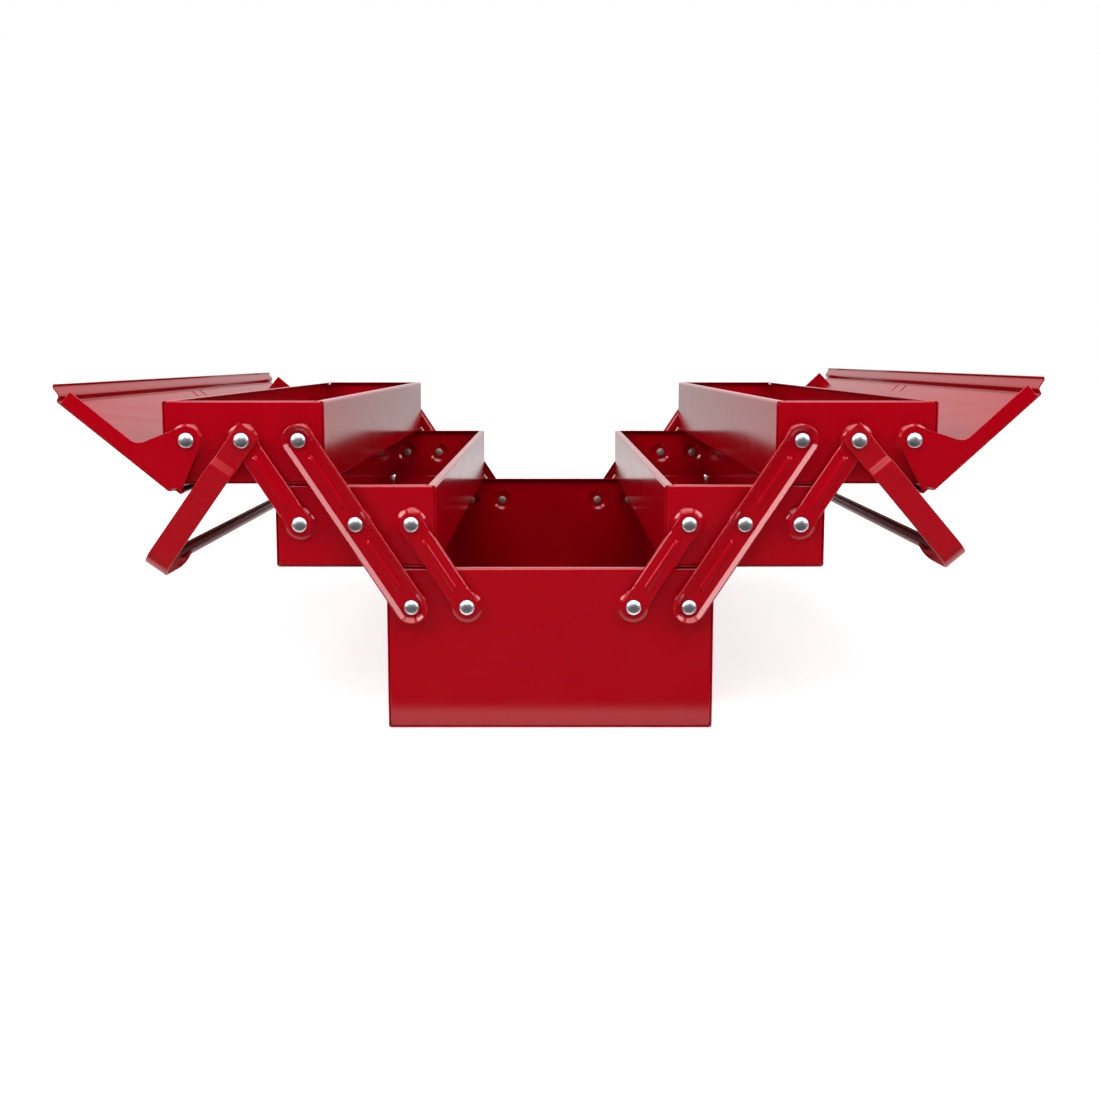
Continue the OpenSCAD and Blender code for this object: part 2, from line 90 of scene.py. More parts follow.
def grid_normals(grid, keep, wrap=False):
    """Mean of the unit normals of the kept cells round each point.

    A cell's normal is the cross product of its diagonals.
    """
    cells = unit(np.cross(grid[1:, 1:] - grid[:-1, :-1], grid[:-1, 1:] - grid[1:, :-1])) * keep[..., None]
    total = np.zeros_like(grid)
    for i in (slice(0, -1), slice(1, None)):
        for j in (slice(0, -1), slice(1, None)):
            total[i, j] += cells
    if wrap:
        total[0] = total[-1] = total[0] + total[-1]
    return unit(total)


def shell(outer, inner, keep, wrap=False, seam=False):
    """Points and quads of a closed sheet.

    The quads are the outer cells, the inner cells turned round, and a strip along every edge where
    only one of the two cells is kept.
    """
    m, n = outer.shape[:2]
    index = np.arange(m * n).reshape(m, n)
    a, b, c, d = index[:-1, :-1], index[1:, :-1], index[1:, 1:], index[:-1, 1:]
    cell = np.stack([a, b, c, d], -1)[keep]
    quads = [cell, cell[:, ::-1] + m * n]
    near = np.pad(keep, 1)
    if wrap:
        near[0], near[-1] = near[-2], near[1]
    if seam:
        near[:, 0] = near[:, 1]
    for start, end, low, high in (
        (index[:-1, :], index[1:, :], near[1:-1, :-1], near[1:-1, 1:]),
        (index[:, 1:], index[:, :-1], near[:-1, 1:-1], near[1:, 1:-1]),
    ):
        for p, q, free in ((start, end, high & ~low), (end, start, low & ~high)):
            quads.append(np.stack([q, p, p + m * n, q + m * n], -1)[free])
    return np.concatenate([outer.reshape(-1, 3), inner.reshape(-1, 3)]), np.concatenate(quads)


def sheet(outer, thick, keep=None, wrap=False, seam=False, normals=None):
    """A shell whose inner face lies thick under the outer one."""
    if keep is None:
        keep = np.ones((outer.shape[0] - 1, outer.shape[1] - 1), bool)
    if normals is None:
        normals = grid_normals(outer, keep, wrap)
    return shell(outer, outer - thick * normals, keep, wrap, seam)


def closed(grid):
    """Points and quads of a grid that meets itself all round."""
    index = np.arange(grid.shape[0] * grid.shape[1]).reshape(grid.shape[:2])
    quads = np.stack([index[:-1, :-1], index[1:, :-1], index[1:, 1:], index[:-1, 1:]], -1)
    return grid.reshape(-1, 3), quads.reshape(-1, 4)


# %% Mesh objects
MERGE_WITHIN = 1e-6  # metres
CREASE_ANGLE, BEVEL_ANGLE = math.radians(40), math.radians(50)


def add_piece(name, parts, body, nodes, material, bevel=0.0):
    """Joins arrays into one mesh, merges what meets, and lets the piece stand for its CAD nodes."""
    start, points, quads = 0, [], []
    for p, q in parts:
        points.append(p)
        quads.append(q + start)
        start += len(p)
    points, quads = np.concatenate(points) * MM, np.concatenate(quads)
    mesh = bpy.data.meshes.new(name)
    mesh.vertices.add(len(points))
    mesh.vertices.foreach_set("co", points.ravel())
    mesh.loops.add(quads.size)
    mesh.loops.foreach_set("vertex_index", quads.ravel())
    mesh.polygons.add(len(quads))
    mesh.polygons.foreach_set("loop_start", np.arange(0, quads.size, 4))
    mesh.update(calc_edges=True)
    work = bmesh.new()
    work.from_mesh(mesh)
    bmesh.ops.remove_doubles(work, verts=work.verts, dist=MERGE_WITHIN)
    lone = [v for v in work.verts if not v.link_faces]
    bmesh.ops.delete(work, geom=lone, context="VERTS")
    open_edges = sum(1 for e in work.edges if len(e.link_faces) != 2)
    work.to_mesh(mesh)
    work.free()
    mesh.validate()
    mesh.polygons.foreach_set("use_smooth", np.ones(len(mesh.polygons), bool))
    mesh.set_sharp_from_angle(angle=CREASE_ANGLE)
    piece = bpy.data.objects.new(name, mesh)
    bpy.context.scene.collection.objects.link(piece)
    if bevel:
        edge = piece.modifiers.new("soft edges", "BEVEL")
        edge.width = bevel * MM
        edge.segments = 2
        edge.limit_method = "ANGLE"
        edge.angle_limit = BEVEL_ANGLE
        edge.harden_normals = True
    mesh.materials.append(material)
    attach(piece, body)
    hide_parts(*nodes)
    print("%-34s %6d faces, %d open edges" % (name, len(mesh.polygons), open_edges))
    return piece


def turned(parts, matrix, offset):
    """Moves arrays by a 3x3 matrix and an offset; a mirroring matrix also turns each quad round."""
    flip = np.linalg.det(matrix) < 0
    return [(p @ matrix.T + offset, q[:, ::-1] if flip else q) for p, q in parts]


# %% [markdown]
# ## Troughs: floor and two long walls bent from one sheet
# A trough is a profile carried along the box. The bends are short arcs with many points, because
# the thin bright lines in the photograph are the sky in those arcs. Two extra points close to each
# arc keep the flat parts flat when the surface is shaded smoothly.

# %% Profiles
HEM, RIM_R, FLOOR_R = 5.0, 1.4, 2.0
HOLD = 0.3  # how close the extra points lie to the bends


def arc(cx, cy, r, start, stop, steps=8):
    """Points of a circle round cx, cy from one angle to the other, in degrees."""
    t = np.radians(np.linspace(start, stop, steps + 1))
    return np.stack([cx + r * np.cos(t), cy + r * np.sin(t)], 1)


def held(path, gap=HOLD):
    """The path with a point close to both ends of each long straight stretch."""
    out = [path[:1]]
    for a, b in zip(path[:-1], path[1:]):
        length = np.linalg.norm(b - a)
        if length > 4 * gap:
            step = (b - a) * gap / length
            out.append(np.array([a + step, b - step]))
        out.append(b[None])
    return np.concatenate(out)


def trough(w, h):
    """Profile from hem to hem through both walls and the floor, carried along the box.

    The flat parts of the hems stop short of the end panels.
    """
    path = held(np.concatenate([
        [[-w / 2 + HEM, h]],
        arc(-w / 2 + RIM_R, h - RIM_R, RIM_R, 90, 180),
        arc(-w / 2 + FLOOR_R, FLOOR_R, FLOOR_R, 180, 270),
        arc(w / 2 - FLOOR_R, FLOOR_R, FLOOR_R, 270, 360),
        arc(w / 2 - RIM_R, h - RIM_R, RIM_R, 0, 90),
        [[w / 2 - HEM, h]],
    ]))
    y = np.array([END_Y, END_Y - RIM_R, END_Y - 2 * RIM_R, 0, 2 * RIM_R - END_Y, RIM_R - END_Y, -END_Y])
    outer = np.zeros((len(path), len(y), 3))
    outer[..., 0], outer[..., 1], outer[..., 2] = path[:, None, 0], y[None], path[:, None, 1]
    keep = np.ones((len(path) - 1, len(y) - 1), bool)
    flat = np.abs(path[:-1, 0] + path[1:, 0]) / 2 < w / 2 - RIM_R
    top = path[:-1, 1] + path[1:, 1] > 2 * h - 0.01
    keep[np.ix_(flat & top, [0, -1])] = False
    return [sheet(outer, SHEET, keep)]


# %% Places of the trays
TIERS = {"middle": 1, "top": 2}


def tray_x(tier):
    """Middle of a tray of the right stack when the box is open."""
    return BOX_W / 2 + 2 * tier * ARM_SHIFT - TRAY_W / 2


def tray_z(tier):
    """Underside of a tray when the box is open."""
    return BOX_H + TRAY_GAP + (tier - 1) * LEVEL


def inner_pivot_x(tier):
    """Place of a tray's pivot nearest to the middle of the open box."""
    return LONG_X + tier * ARM_SHIFT + (tier - 2) * PIVOT_GAP


MIRROR_X = np.diag([-1.0, 1, 1])
MIRROR_Y = np.diag([1.0, -1, 1])
AS_IT_IS = np.eye(3)


# %% [markdown]
# ## End panels: one face with four folded edges and a pressed boss at every pivot
# The panel is drawn unfolded. Along each direction a profile says how far the sheet runs in its
# face and how deep it has turned in, so the same grid gives the face, the bends and the flanges.
# The cells in the corners, where two bends would meet, are switched off. A boss is a cone with
# soft shoulders, and its height is simply added to the face.

# %% The panel and its bosses
BOSS_R, BOSS_TOP_R, BOSS_H = 9.8, 7.4, 2.0
BOSS_FOOT, BOSS_SPREAD = 0.8, 1.4  # how far the soft foot reaches out, and how much wider the slope is
FINE_REACH, FINE_STEP = BOSS_R + 1.2, 0.55
FLANGE, BEND_R, RELIEF = 10.0, 1.4, 0.8


def fine_lines(stops, centres):
    """The given stops, with fine steps round the middle of each boss."""
    near = [np.arange(c - FINE_REACH, c + FINE_REACH + 0.01, FINE_STEP) for c in centres]
    lines = np.unique(np.round(np.concatenate([stops] + near), 4))
    return lines[(lines >= stops[0]) & (lines <= stops[-1])]


def edge_profile(lines, low_edge, low_r, low_leg, high_edge, high_r, high_leg):
    """Place and depth along one direction of the unfolded panel: leg, bend, face, bend, leg."""
    low = np.concatenate([[[low_edge, low_leg]], arc(low_edge + low_r, low_r, low_r, 180, 270)])
    high = np.concatenate([arc(high_edge - high_r, high_r, high_r, 270, 360), [[high_edge, high_leg]]])
    face = np.stack([lines, np.zeros_like(lines)], 1)
    return np.concatenate([low, face[1:-1], high])


def end_panel(w, h, pivots):
    """Depth of the two profiles adds up; the bosses rise towards the viewer."""
    half, low, high = w / 2 - SHEET, SHEET, h
    face_x, face_low, face_high = half - BEND_R, low + BEND_R, h - RIM_R
    hem_x, arc_x = w / 2 - HEM - RELIEF, w / 2 - RIM_R - RELIEF
    z_low, z_high = face_low + RELIEF, face_high - RELIEF
    right = np.array([hem_x, arc_x - HOLD, arc_x, face_x])
    x_lines = fine_lines(np.concatenate([-right[::-1], right]), pivots)
    z_stops = np.array([face_low, z_low, z_low + HOLD, z_high - HOLD, z_high, face_high])
    z_lines = fine_lines(z_stops, [h - PIVOT_DROP])
    u = edge_profile(x_lines, -half, BEND_R, FLANGE, half, BEND_R, FLANGE)
    v = edge_profile(z_lines, low, BEND_R, FLANGE, high, RIM_R, HEM)
    x, z = np.meshgrid(u[:, 0], v[:, 0], indexing="ij")
    depth = u[:, None, 1] + v[None, :, 1]
    boss = np.zeros_like(x)
    for p in pivots:
        away = np.hypot(x - p, z - (h - PIVOT_DROP))
        slope = (BOSS_R + BOSS_FOOT - away) / (BOSS_R - BOSS_TOP_R + BOSS_SPREAD)
        boss = np.maximum(boss, BOSS_H * smooth(slope))
    outer = np.stack([x, depth - END_Y - boss, z], -1)
    mid_x, mid_z = (u[1:, 0] + u[:-1, 0]) / 2, (v[1:, 0] + v[:-1, 0]) / 2
    turned_x = ((u[1:, 1] + u[:-1, 1]) > 1e-6)[:, None]
    turned_z = ((v[1:, 1] + v[:-1, 1]) > 1e-6)[None]
    inside_z = (mid_z > z_low) & (mid_z < z_high)
    is_low = mid_z < h / 2
    is_leg = np.abs(v[1:, 1] - v[:-1, 1]) > RIM_R
    reach = np.where(is_low, half - BEND_R - RELIEF, np.where(is_leg, hem_x, arc_x))
    keep = ~turned_x & ~turned_z
    keep |= turned_x & inside_z[None] & ~turned_z
    keep |= ~turned_x & turned_z & (np.abs(mid_x)[:, None] < reach[None])
    return [sheet(outer, SHEET, keep)]


# %% [markdown]
# ## Arms: pressed strips with round ends
# An arm could be an extruded outline, but the light on it comes from its soft shoulders. Here one
# parameter runs round the pill-shaped outline and the other from the spine out to the rim, so the
# rim stays an even line. The long arm is a dish whose sides lean outward. The short arm is a cap
# whose long sides curl towards the panel and fade to flat tabs over the bosses.

# %% Beads and the pill-shaped grid
ARM_T, ARM_TOP = 1.2, 3.4
BEAD_H, BEAD_HALF, BEAD_INSET = 1.3, 3.0, 14.0
SPINE_STEP, END_STEPS = 1.1, 32


def pill(length):
    """Spine points and the directions away from them, once round the outline, clockwise from outside."""
    run = np.linspace(0, length, int(length / SPINE_STEP))
    turn = np.radians(np.linspace(90, -90, END_STEPS + 1))[1:-1]
    side = np.full(len(run), math.pi / 2)
    spine = np.concatenate([run, np.full(len(turn), length), run[::-1], np.zeros(len(turn)), [0.0]])
    angle = np.concatenate([side, turn, -side, turn - math.pi, side[:1]])
    return spine, np.stack([np.cos(angle), np.sin(angle)], 1)


def bead_height(along, across, length):
    """A ridge between each two pivots: a raised cosine of the distance from its spine."""
    height = np.zeros_like(along)
    for k in range(round(length / ARM_PITCH)):
        low, high = k * ARM_PITCH + BEAD_INSET, (k + 1) * ARM_PITCH - BEAD_INSET
        away = np.hypot(along - np.clip(along, low, high), across)
        share = np.clip(away / BEAD_HALF, 0, 1)
        height = np.maximum(height, BEAD_H * (0.5 + 0.5 * np.cos(np.pi * share)))
    return height


def arm(length, reach, height):
    """Sweeps a profile round the pill, with a reach and a height for each point of the outline.

    The first column lies on the spine and the last one on the rim.
    """
    spine, way = pill(length)
    along = spine[:, None] + way[:, None, 0] * reach
    across = way[:, None, 1] * reach
    outer = np.stack([along, across, height + bead_height(along, across, length)], -1)
    keep = np.ones((outer.shape[0] - 1, outer.shape[1] - 1), bool)
    normals = grid_normals(outer, keep, wrap=True)
    normals[:, 0, 1] = 0
    normals[spine <= 0, 0] = normals[spine >= length, 0] = [0, 0, 1]
    return [sheet(outer, ARM_T, keep, wrap=True, seam=True, normals=unit(normals))]


# %% Long and short arms
def long_arm():
    """Flat web, a fillet, and a side that climbs outward at 39.5 degrees up to the rim."""
    lean, rim_r, rim_h, fillet = math.radians(39.5), 9.33, 6.0, 1.6
    web_steps = 11
    foot = rim_r - (rim_h - ARM_TOP) / math.tan(lean)
    start = foot - fillet * math.tan(lean / 2)
    bend = arc(start, ARM_TOP + fillet, fillet, -90, -90 + math.degrees(lean), 6)
    web = np.stack([np.linspace(0, start, web_steps + 1)[:-1], np.full(web_steps, ARM_TOP)], 1)
    side = bend[-1] + np.linspace(0, 1, 6)[1:, None] * (np.array([rim_r, rim_h]) - bend[-1])
    profile = np.concatenate([web, bend, side])
    around = np.ones((len(pill(2 * ARM_PITCH)[0]), 1))
    return arm(2 * ARM_PITCH, around * profile[:, 0], around * profile[:, 1])


def short_arm():
    """Flat web and an edge that turns down more and more away from the pivots, in one even outline."""
    half, edge_r, lip = 7.5, 1.7, 1.0
    tab, fade, tab_turn, full_turn = 7.0, 6.0, 14, 90
    spine = pill(ARM_PITCH)[0]
    from_pivot = np.minimum(spine, ARM_PITCH - spine)
    full = smooth((from_pivot - tab) / fade)[:, None]
    turn = np.radians(tab_turn + (full_turn - tab_turn) * full)
    share = np.linspace(0, 1, 9)[None]
    flat = half - edge_r * np.sin(turn) - lip * np.cos(turn)
    web = np.linspace(0, 1, 13)[None, :-1] * flat
    curl_x, curl_z = flat + edge_r * np.sin(turn * share), ARM_TOP - edge_r * (1 - np.cos(turn * share))
    tip = lip * np.array([[0.5, 1.0]])
    reach = np.concatenate([web, curl_x, curl_x[:, -1:] + tip * np.cos(turn)], 1)
    height = np.concatenate([np.full_like(web, ARM_TOP), curl_z, curl_z[:, -1:] - tip * np.sin(turn)], 1)
    return arm(ARM_PITCH, reach, height)


def leaning(x, z):
    """Matrix and offset that put a left arm at the near end: along its length, across it, and outward."""
    turn = math.pi / 2 + ARM_LEAN
    c, s = math.cos(turn), math.sin(turn)
    return np.array([[c, -s, 0], [0, 0, -1], [s, c, 0]]), np.array([-x, -END_Y, z])


# %% [markdown]
# ## Rivets: domed heads outside, flat tails inside
# A rivet is a profile turned round its axis. Its dome is an ellipse with a shallow dimple where
# the punch held it. The rivets of one compartment are one piece, as they are in the CAD model.

# %% The turned profile
def turned_profile(profile, steps=48):
    """A profile of radius and height, turned once round; its ends lie on the axis."""
    t = np.linspace(0, 2 * math.pi, steps + 1)[:, None]
    radius, height = profile[:, 0], np.tile(profile[:, 1], (len(t), 1))
    return closed(np.stack([np.cos(t) * radius, np.sin(t) * radius, height], -1))


def rivet(head_z):
    """Tail disc, shank, and a dome of radius 4.65 and height 2.6 with a dimple 0.12 deep."""
    tail_r, tail_low, tail_top, shank_r = 4.0, 0.5, 1.2, 2.5
    head_r, edge, rise, dimple, dimple_r = 4.65, 0.4, 2.2, 0.12, 0.55
    tail_in, tail_up, head_in, head_up = 0.3, 0.25, 0.2, 0.15
    dome = np.linspace(0, math.pi / 2, 19)
    r = head_r * np.cos(dome)
    z = head_z + edge + rise * np.sin(dome) - dimple * np.exp(-(r / dimple_r) ** 2)
    tail = [[0, tail_low], [tail_r - tail_in, tail_low], [tail_r, tail_low + tail_up],
            [tail_r, tail_top], [shank_r, tail_top]]
    base = [[shank_r, head_z], [head_r - head_in, head_z], [head_r, head_z + head_up]]
    return turned_profile(np.concatenate([tail, base, np.stack([r, z], 1)]))


OUTWARD = np.array([[1.0, 0, 0], [0, 0, -1], [0, 1, 0]])


def rivet_row(places):
    """Rivets at both ends of one compartment, from their x, z and head heights."""
    row = []
    for x, z, head_z in places:
        near = turned([rivet(head_z)], OUTWARD, np.array([x, -END_Y, z]))
        row += near + turned(near, MIRROR_Y, 0)
    return row


# %% [markdown]
# ## Lids: cross-broken panels with plate ears
# The long edges of a lid are folded, and the flat between them is broken across both diagonals so
# that it stays stiff. The grid's lines share out both halves of the panel evenly, so each crease
# runs exactly through grid points. Two slots near the inner edge are cells that are left out.

# %% The lid's profile and its creases
LID_T, LID_RISE, LID_BACK, LID_REACH = 0.8, 31.2, 11.1, 74.2
EAR_Z, EAR_TOP = 2.2, 3.2
LID_HALF = END_Y + EAR_TOP
CROSS_RISE, CROSS_BORDER, CREASE = 1.5, 12.0, 0.45
CROSS_STEPS = 28
SLOT_L, SLOT_W, SLOT_PITCH, SLOT_END = 8.0, 3.0, 22.0, 1.5
SLOT_SHORT = 1.1  # the slots end this much before the soft fold
SKIRT_DROP, SKIRT_W, SKIRT_RUN, SKIRT_LIP, SKIRT_LEAN = 3.1, 6.6, 2.2, 3.8, 1.0
LEDGE_DROP, LEDGE_W, LEDGE_RUN, LEDGE_RISE, LEDGE_LIP, EDGE_RUN = 5.3, 7.7, 0.8, 1.6, 2.0, 0.9
LID_EASE = 1.4
EAR_R, EAR_REACH, EAR_STRIP, EAR_THROAT, THROAT_EASE = 8.7, 71.5, 9.3, 21.6, 5.0
EAR_GAP = 0.4  # between an ear's corner and the skirt
BACK_IN, NOTCH_OUT, NOTCH_IN = 1.2, 1.4, 1.0


def eased(path, size, steps=6, most=0.45):
    """Every corner cut by a parabola that starts size before it, or at most a share of the leg."""
    out = [path[:1]]
    s = np.linspace(0, 1, steps + 1)[:, None]
    for before, corner, after in zip(path[:-2], path[1:-1], path[2:]):
        back, on = before - corner, after - corner
        a = corner + unit(back) * min(size, np.linalg.norm(back) * most)
        b = corner + unit(on) * min(size, np.linalg.norm(on) * most)
        out.append((1 - s) ** 2 * a + 2 * s * (1 - s) * corner + s * s * b)
    return np.concatenate(out + [path[-1:]])


def lid_panel():
    """Fold profile along the lid, plus a low pyramid over the flat with its edges struck in a little.

    A point's share is the larger of its distances from the middle along and across, each divided by
    the half size of the pyramid. The pyramid's height falls evenly from share 0 to share 1.
    """
    slot_x = LID_REACH - SLOT_L - SLOT_END
    slot_stop = slot_x + SLOT_L - SLOT_SHORT
    x0, x1 = -LID_BACK + 2 * SLOT_END, slot_x - SLOT_END
    skirt_x, skirt_z, ledge_z = -LID_BACK - SKIRT_W, LID_RISE - SKIRT_DROP, LID_RISE - LEDGE_DROP
    skirt = eased(np.array([
        [skirt_x - SKIRT_LEAN, skirt_z - SKIRT_LIP], [skirt_x, skirt_z],
        [-LID_BACK - SKIRT_RUN, skirt_z], [-LID_BACK, LID_RISE], [0, LID_RISE],
    ]), LID_EASE)[:-1]
    ledge = eased(np.array([
        [0, LID_RISE], [LID_REACH, LID_RISE], [LID_REACH + LEDGE_RUN, ledge_z + LEDGE_RISE],
        [LID_REACH + LEDGE_W - EDGE_RUN, ledge_z], [LID_REACH + LEDGE_W, ledge_z - LEDGE_LIP],
    ]), LID_EASE)[1:]
    across = np.append(np.linspace(x0, x1, CROSS_STEPS + 1), [slot_x, slot_x + SLOT_L / 2, slot_stop])
    path = np.concatenate([skirt, np.stack([across, np.full(len(across), LID_RISE)], 1), ledge])
    cross_half = LID_HALF - CROSS_BORDER
    slots = [side * (SLOT_PITCH / 2 + half * SLOT_W / 2) for side in (-1, 1) for half in (-1, 1)]
    y = np.unique(np.round(np.concatenate([
        [-LID_HALF, LID_HALF], np.linspace(-cross_half, cross_half, CROSS_STEPS + 1), slots]), 4))
    x = path[:, 0]
    share_x = np.abs(x - (x0 + x1) / 2)[:, None] / ((x1 - x0) / 2)
    share_y = np.abs(y)[None] / cross_half
    share = np.maximum(share_x, share_y)
    crease = (np.abs(share_x - share_y) < 1e-3) & (share < 0.99)
    outer = np.zeros((len(path), len(y), 3))
    outer[..., 0], outer[..., 1] = path[:, None, 0], y[None]
    outer[..., 2] = path[:, None, 1] + CROSS_RISE * np.clip(1 - share, 0, 1) - CREASE * crease
    mid_x, mid_y = (x[1:] + x[:-1]) / 2, np.abs(y[1:] + y[:-1]) / 2
    in_slot_x = (mid_x > slot_x) & (mid_x < slot_stop)
    in_slot_y = np.abs(mid_y - SLOT_PITCH / 2) < SLOT_W / 2
    return [sheet(outer, LID_T, ~(in_slot_x[:, None] & in_slot_y[None]))]


def touch_angle(point, side):
    """Angle at which a line from the point touches the ear's round end, on one side."""
    return math.degrees(math.atan2(point[1], point[0]) + side * math.acos(EAR_R / np.linalg.norm(point)))


def ear():
    """Plate between a lower edge, round the pivot and along the strip, and an upper edge above it."""
    top = LID_RISE - LID_T
    corner = np.array([-LID_BACK - SKIRT_W + LID_T, LID_RISE - SKIRT_DROP - LID_T - EAR_GAP])
    throat = np.array([EAR_THROAT, top - EAR_STRIP])
    bow = arc(0, 0, EAR_R, touch_angle(corner, 1), 360 + touch_angle(throat, -1), 24)
    neck = eased(np.array([bow[-1], throat, [EAR_REACH, throat[1]]]), THROAT_EASE)
    slant = [corner, corner * 0.7 + bow[0] * 0.3, corner * 0.4 + bow[0] * 0.6]
    low = np.concatenate([slant, bow, neck[1:]])
    high = np.stack([np.maximum(low[:, 0], -LID_BACK + BACK_IN), np.full(len(low), top)], 1)
    high[0], high[1], high[2] = corner, [-LID_BACK - NOTCH_OUT, corner[1]], [-LID_BACK + NOTCH_IN, top]
    share = np.linspace(0, 1, 5)[None, :, None]
    flat = low[:, None] * (1 - share) + high[:, None] * share
    outer = np.stack([flat[..., 0], np.full(flat.shape[:2], -END_Y - EAR_TOP), flat[..., 1]], -1)
    return [sheet(outer, EAR_TOP - EAR_Z)]


def swung(parts, degrees, x, side):
    """Turns parts about Y by an angle and moves them to the left pivot; the right one is its mirror."""
    c, s = math.cos(math.radians(degrees)), math.sin(math.radians(degrees))
    pivot = np.array([-x, 0, PIVOT_Z + 2 * LEVEL])
    left = turned(parts, np.array([[c, 0, -s], [0, 1, 0], [s, 0, c]]), pivot)
    return turned(left, MIRROR_X, 0) if side == "right" else left


# %% [markdown]
# ## Handles: one strip that rolls itself into a grip
# The strip leaves the pivot flat, steps outward over the lid's ear, turns the corner and curls
# into a tube. The same loop of points is carried along the whole way. Its curl is 0 where the strip
# is flat and 1 in the grip, and curling bends the strip's width onto an arc of the same length.

# %% The strip and its curl
STRAP_W, STRAP_T, STRAP_TAIL, STRAP_Z, STRAP_EASE = 15.2, 1.6, 8.0, 3.6, 2.2
JOGGLE_AT, JOGGLE_RUN, JOGGLE_H = 17.0, 4.5, 2.8
GRIP_R, GRIP_REACH, GRIP_BEND, GRIP_FLAT, GRIP_ROLL = 3.7, 97.0, 12.0, 24.0, 32.0


def strip_loop(steps=12, edge=0.45):
    """Share of the half width, and depth below the outer face, once round the strip.

    The second half of the loop is the first half turned round.
    """
    q = np.radians(np.linspace(0, 90, 5))
    e = edge / (STRAP_W / 2)
    half = np.concatenate([
        np.stack([np.linspace(e - 1, 1 - e, steps + 1), np.zeros(steps + 1)], 1),
        np.stack([1 - e + e * np.sin(q), edge - edge * np.cos(q)], 1)[1:],
        np.stack([1 - e + e * np.cos(q), STRAP_T - edge + edge * np.sin(q)], 1),
    ])
    return np.concatenate([half, (half * [-1, -1] + [0, STRAP_T])[1:]])


def handle_path():
    """Outer face of the strip from the near pivot's tail to the middle of the grip, with its curl."""
    near = -(END_Y + STRAP_Z + STRAP_T)
    far, bend_x = near - JOGGLE_H, GRIP_REACH - GRIP_BEND
    strap = [[-STRAP_TAIL, near], [JOGGLE_AT, near], [JOGGLE_AT + JOGGLE_RUN, far], [bend_x, far]]
    strap = held(eased(np.array(strap), STRAP_EASE), 0.4)
    bend = arc(bend_x, far + GRIP_BEND, GRIP_BEND, -90, 0, 14)[1:]
    y = -END_Y + GRIP_FLAT + np.linspace(0, GRIP_ROLL, 15)
    grip = np.stack([np.full(len(y) + 1, GRIP_REACH), np.append(y, 0)], 1)
    path = np.concatenate([strap, bend, grip])
    curl = smooth((path[:, 1] + END_Y - GRIP_FLAT) / GRIP_ROLL)
    return path, curl


def handle():
    """Carries the loop along the path, for one half of the handle and its mirror image.

    A curled strip lies on a circle of radius GRIP_R / curl behind its outer face.
    """
    path, curl = handle_path()
    loop = strip_loop()
    tangent = unit(np.gradient(path, axis=0))
    out = np.stack([tangent[:, 1], -tangent[:, 0]], 1)
    bent = np.maximum(curl, 1e-4)[:, None]
    radius = GRIP_R / bent
    share, depth = loop[None, :, 0], np.tile(loop[None, :, 1], (len(path) + 1, 1))
    depth[0] = STRAP_T / 2
    turn = share * bent * STRAP_W / 2 / GRIP_R
    turn, radius = np.concatenate([turn[:1], turn]), np.concatenate([radius[:1], radius])
    path, out = np.concatenate([path[:1], path]), np.concatenate([out[:1], out])
    arm_r = radius + STRAP_T / 2 - depth
    behind = arm_r * np.cos(turn) - radius - STRAP_T / 2
    along, outward = (path[:, None, k] + out[:, None, k] * behind for k in (0, 1))
    near = [closed(np.stack([along, outward, arm_r * np.sin(turn)], -1))]
    return near + turned(near, MIRROR_Y, 0)


# %% [markdown]
# ## Paint and zinc as node trees
# Node trees are easier to read as formulas. A small class wraps a socket, so that + and * between
# sockets add Math nodes, and one method makes every other kind of node.

# %% Sockets that can be added and multiplied
class Wire:
    """An output socket in a tree; arithmetic on it adds Math nodes."""

    def __init__(self, finish, socket):
        self.finish, self.socket = finish, socket

    def math(self, operation, *values):
        return self.finish.node("ShaderNodeMath", {"operation": operation}, dict(enumerate(values)))

    def __add__(self, other):
        return self.math("ADD", self, other)

    def __sub__(self, other):
        return self.math("SUBTRACT", self, other)

    def __rsub__(self, other):
        return self.math("SUBTRACT", other, self)

    def __mul__(self, other):
        return self.math("MULTIPLY", self, other)

    def clip(self):
        """The value kept between 0 and 1."""
        return self.math("MAXIMUM", self.math("MINIMUM", self, 1.0), 0.0)

    __radd__, __rmul__ = __add__, __mul__


class Finish:
    """A node tree of a material or the world."""

    def __init__(self, owner):
        self.owner = owner
        owner.use_nodes = True
        self.tree = owner.node_tree
        self.tree.nodes.clear()

    def node(self, kind, settings=None, values=None, out=0):
        """Adds a node, sets its settings first and then its sockets, and gives one of its outputs."""
        made = self.tree.nodes.new(kind)
        for key, value in (settings or {}).items():
            setattr(made, key, value)
        for key, value in (values or {}).items():
            socket = made.inputs[key]
            if isinstance(value, Wire):
                self.tree.links.new(value.socket, socket)
            elif socket.type == "RGBA":
                socket.default_value = (*value, 1.0)
            else:
                socket.default_value = value
        return Wire(self, made.outputs[out]) if len(made.outputs) else None

    def mix(self, share, first, second):
        """Colour that goes from first to second."""
        return self.node("ShaderNodeMix", {"data_type": "RGBA"}, {0: share, 6: first, 7: second}, out=2)

    def noise(self, where, scale, detail=2.0):
        """Cloudy values round 0.5."""
        return self.node("ShaderNodeTexNoise", {}, {"Vector": where, "Scale": scale, "Detail": detail})

    def bump(self, strength, distance, height):
        """Normal that is tilted by the slope of the height."""
        values = {"Strength": strength, "Distance": distance, "Height": height}
        return self.node("ShaderNodeBump", {}, values)

    def axis(self, vector, out):
        """One of a vector's components: 0, 1 or 2."""
        return self.node("ShaderNodeSeparateXYZ", {}, {0: vector}, out=out)


DIRECTION, OBJECT = 0, 3  # outputs of the Texture Coordinate node


